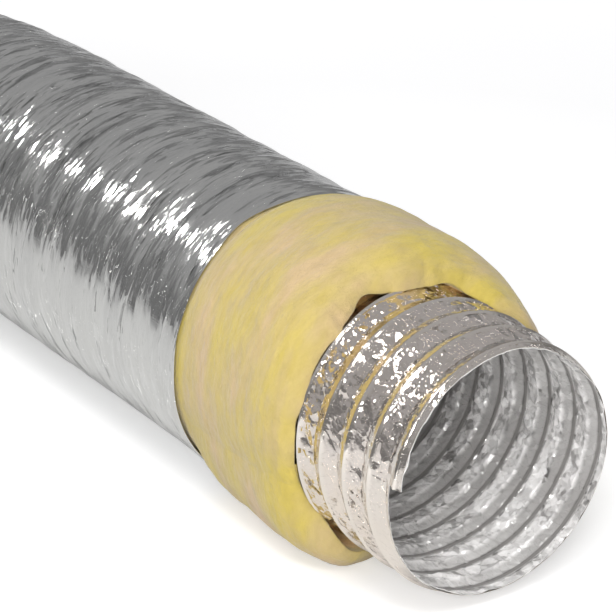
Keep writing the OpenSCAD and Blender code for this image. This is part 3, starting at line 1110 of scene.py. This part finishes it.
def add_camera():
    camera = bpy.data.objects.new("camera", bpy.data.cameras.new("camera"))
    bpy.context.scene.collection.objects.link(camera)
    camera.location = CAMERA_PLACE
    camera.rotation_euler = (math.pi / 2 - CAMERA_DIP, 0, CAMERA_HEADING - math.pi / 2)
    camera.data.sensor_width = SENSOR_WIDTH
    camera.data.lens = CAMERA_LENS
    bpy.context.scene.camera = camera


def area_light(name, place, target, size, power):
    light = bpy.data.lights.new(name, "AREA")
    light.shape = "RECTANGLE"
    light.size, light.size_y = size
    light.energy = power
    lamp = bpy.data.objects.new(name, light)
    bpy.context.scene.collection.objects.link(lamp)
    lamp.location = place
    lamp.rotation_euler = (Vector(place) - Vector(target)).to_track_quat("Z", "Y").to_euler()


def add_stage():
    """A plain floor. To the camera it glows a little, so that it is white and still takes shadows."""
    bpy.ops.mesh.primitive_plane_add(size=FLOOR_SIZE, location=(MIDDLE[0], MIDDLE[1], FLOOR_Z * MM))
    floor = bpy.context.object
    floor.name = "floor"
    n = Nodes("floor")
    n.shader.inputs["Base Color"].default_value = (0.80, 0.80, 0.80, 1)
    n.shader.inputs["Roughness"].default_value = 1.0
    n.shader.inputs["Specular IOR Level"].default_value = 0.0
    n.shader.inputs["Emission Color"].default_value = (1, 1, 1, 1)
    path = n.add("LightPath").outputs
    mirrored = n.calculate("MULTIPLY", path["Is Glossy Ray"], GLOW_IN_FOIL)
    seen = n.calculate("MAXIMUM", path["Is Camera Ray"], mirrored)
    seen = n.calculate("MAXIMUM", seen, path["Is Transmission Ray"])
    place = n.add("TexCoord").outputs["Object"]
    away = n.add("VectorMath", {"operation": "LENGTH"}, **{"0": place}).outputs["Value"]
    glow = n.level(away, *GLOW_FROM_TO, *FLOOR_GLOW)
    n.set(n.shader, "Emission Strength", n.calculate("MULTIPLY", glow, seen))
    floor.data.materials.append(n.material)


def add_world():
    """A grey room over the floor, darkest a little over the horizon."""
    world = bpy.data.worlds.new("studio")
    bpy.context.scene.world = world
    world.use_nodes = True
    tree = world.node_tree
    background = tree.nodes["Background"]
    place = tree.nodes.new("ShaderNodeTexCoord")
    split = tree.nodes.new("ShaderNodeSeparateXYZ")
    shades = tree.nodes.new("ShaderNodeValToRGB")
    tree.links.new(place.outputs["Generated"], split.inputs[0])
    tree.links.new(split.outputs["Z"], shades.inputs["Fac"])
    tree.links.new(shades.outputs["Color"], background.inputs["Color"])
    stops = [(height, (grey, grey, ROOM_BLUE * grey)) for height, grey in ROOM_GREY]
    fill_ramp(shades.color_ramp.elements, stops)


add_camera()
add_stage()
add_world()
for name, light in LIGHTS.items():
    area_light(name, *light)

# ---- The duct ----

outer_film = film_material(
    "outer_ply", colour=(0.76, 0.70, 0.65), dull_colour=(0.70, 0.64, 0.59), tight_colour_and_shade=(0.76, 0.71, 0.65),
    roughness=(0.04, 0.12), metallic=1.0,
    facets=[(0.012, 0.009, 0.0034), (0.0046, 0.0034, 0.0021)], calm=0.12)
# The inner ply's dark tight colour is painted shade along the wires and on the steep sides of its ribs
inner_film = film_material(
    "inner_ply", colour=(0.96, 0.945, 0.93), dull_colour=(0.92, 0.90, 0.885), tight_colour_and_shade=(0.26, 0.25, 0.24),
    roughness=(0.12, 0.24), metallic=0.14,
    facets=[(0.014, 0.011, 0.0085), (0.0055, 0.0045, 0.0036)], calm=0.5)
jacket_film = film_material(
    "jacket", colour=(0.64, 0.64, 0.62), dull_colour=(0.59, 0.59, 0.575), tight_colour_and_shade=(0.62, 0.62, 0.60),
    roughness=(0.07, 0.16), metallic=1.0,
    facets=[(0.006, 0.045, 0.0024), (0.003, 0.016, 0.0013)], calm=0.3)
wool = wool_material()
steel = wire_material()


def lengths(part, *foremost):
    """The lengths of the CAD that a part of a layer replaces. foremost: those before "front"."""
    return {"front": [*foremost, "front"], "lift": ["lift"], "rear": ["side", "rear"]}[part]


# Each part of the core is made a turn longer at its cuts and then cut square
split_turn, lift_turn, rear_turn = turn_at(CORE_SPLIT_AT), turn_at(LIFT_AT), turn_at(REAR_AT)
core = {"front": core_piece("front", 0, math.ceil(split_turn) + 1, steps=480, fine=3)}
core["front"].append(wire_piece("front", 0, split_turn, steps=120))
for part, first, last in [("lift", split_turn, lift_turn), ("rear", lift_turn, rear_turn)]:
    core[part] = core_piece(part, math.floor(first) - 1, math.ceil(last) + 1, steps=180, fine=1)
    core[part].append(wire_piece(part, first, last, steps=90))
for piece in core["front"][:2]:
    cut_piece(piece, CORE_SPLIT_AT, True)
    sharpen(piece)
for part, front_cut, rear_cut in [("lift", CORE_SPLIT_AT, LIFT_AT), ("rear", LIFT_AT, REAR_AT)]:
    for piece in core[part][:2]:
        cut_piece(piece, front_cut, False)
        cut_piece(piece, rear_cut, True)

looks = {"outer_ply": outer_film, "inner_ply": inner_film, "wire": steel}
for part, pieces in core.items():
    for piece in pieces:
        layer = piece.name.rsplit("_", 1)[0]
        dress(piece, looks[layer], layer, *[f"{layer}_{n}" for n in lengths(part, "mouth", "stretch")])

blanket = {
    "front": blanket_piece(
        "blanket_end_piece", BLANKET_FRONT_AT, BLANKET_SPLIT_AT, step=3, count=300, open_end=True),
    "lift": blanket_piece(
        "blanket_lift_piece", BLANKET_SPLIT_AT, LIFT_AT, step=6, count=150, open_end=False),
    "rear": blanket_piece("blanket_rear_piece", LIFT_AT, REAR_AT, step=6, count=150, open_end=False),
}
for part, piece in blanket.items():
    dress(piece, wool, "blanket", *[f"blanket_{n}" for n in lengths(part, "end", "gather")])

# Swelling, its maker and angles, number of sectors, columns in each, radius at which the pressing starts
# and share of the height beyond it that is kept
SWELLINGS = [
    ("top", top_swelling, TOP_ANGLES, 6, 19, 97, 0.66),
    ("flare", flare_swelling, FLARE_ANGLES, 3, 27, 112, 0.30),
]
swellings = []
for name, make, span, sectors, columns, depth, keep in SWELLINGS:
    borders = np.linspace(*span, sectors + 1)
    for number, sector in enumerate(zip(borders[:-1], borders[1:]), start=1):
        middle = math.radians(sum(sector) / 2)
        axis = (0, -math.cos(middle), math.sin(middle))
        for place, body in [("front", "blanket_sleeve"), ("rear", "front_run")]:
            piece = make(f"blanket_{name}_{place}_{number}", place == "front", sector, columns)
            dress(piece, wool, "blanket", "blanket_end")
            swellings.append((piece, body, axis, depth, keep))

jacket = {
    "front": jacket_piece("jacket_front_piece", JACKET_CUT_AT, JACKET_SPLIT_AT, step=1.3, count=360),
    "lift": jacket_piece("jacket_lift_piece", JACKET_SPLIT_AT, LIFT_AT, step=1.8, count=220),
    "rear": jacket_piece("jacket_rear_piece", LIFT_AT, REAR_AT, step=1.8, count=220),
}
for part, piece in jacket.items():
    sharpen(piece)
    dress(piece, jacket_film, "jacket", *[f"jacket_{n}" for n in lengths(part, "cuff", "gather")])


# ---- What each piece follows ----

def behind(at):
    """The point on the duct's axis at a distance behind the mouth, in metres."""
    return Vector(duct_points(at, 0.0, 0.0) * MM)


def follow(part, piece, sliding_from, sliding_to):
    """Bakes the transform of a part of a layer into its mesh. The two distances are not used."""
    if part == "front":
        behind(sliding_from)
        behind(sliding_to)
        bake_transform(piece)
    elif part == "lift":
        behind(FRONT_AT)
        behind(LIFT_AT)
        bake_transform(piece)
    else:
        seam = behind(LIFT_AT)
        turned = Vector((behind(SIDE_AT).x, seam.y, seam.z))
        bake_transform(piece)


for part, pieces in core.items():
    for piece in pieces:
        follow(part, piece, STRETCH_AT, MOUTH_AT)
for part, piece in blanket.items():
    follow(part, piece, BLANKET_GATHER_AT, BLANKET_END_AT)
for part, piece in jacket.items():
    follow(part, piece, JACKET_GATHER_AT, JACKET_CUFF_AT)

for piece, body, axis, depth, keep in swellings:
    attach(piece, body)
    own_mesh(piece)

bpy.context.scene.view_settings.view_transform = "Standard"
bpy.context.view_layer.update()
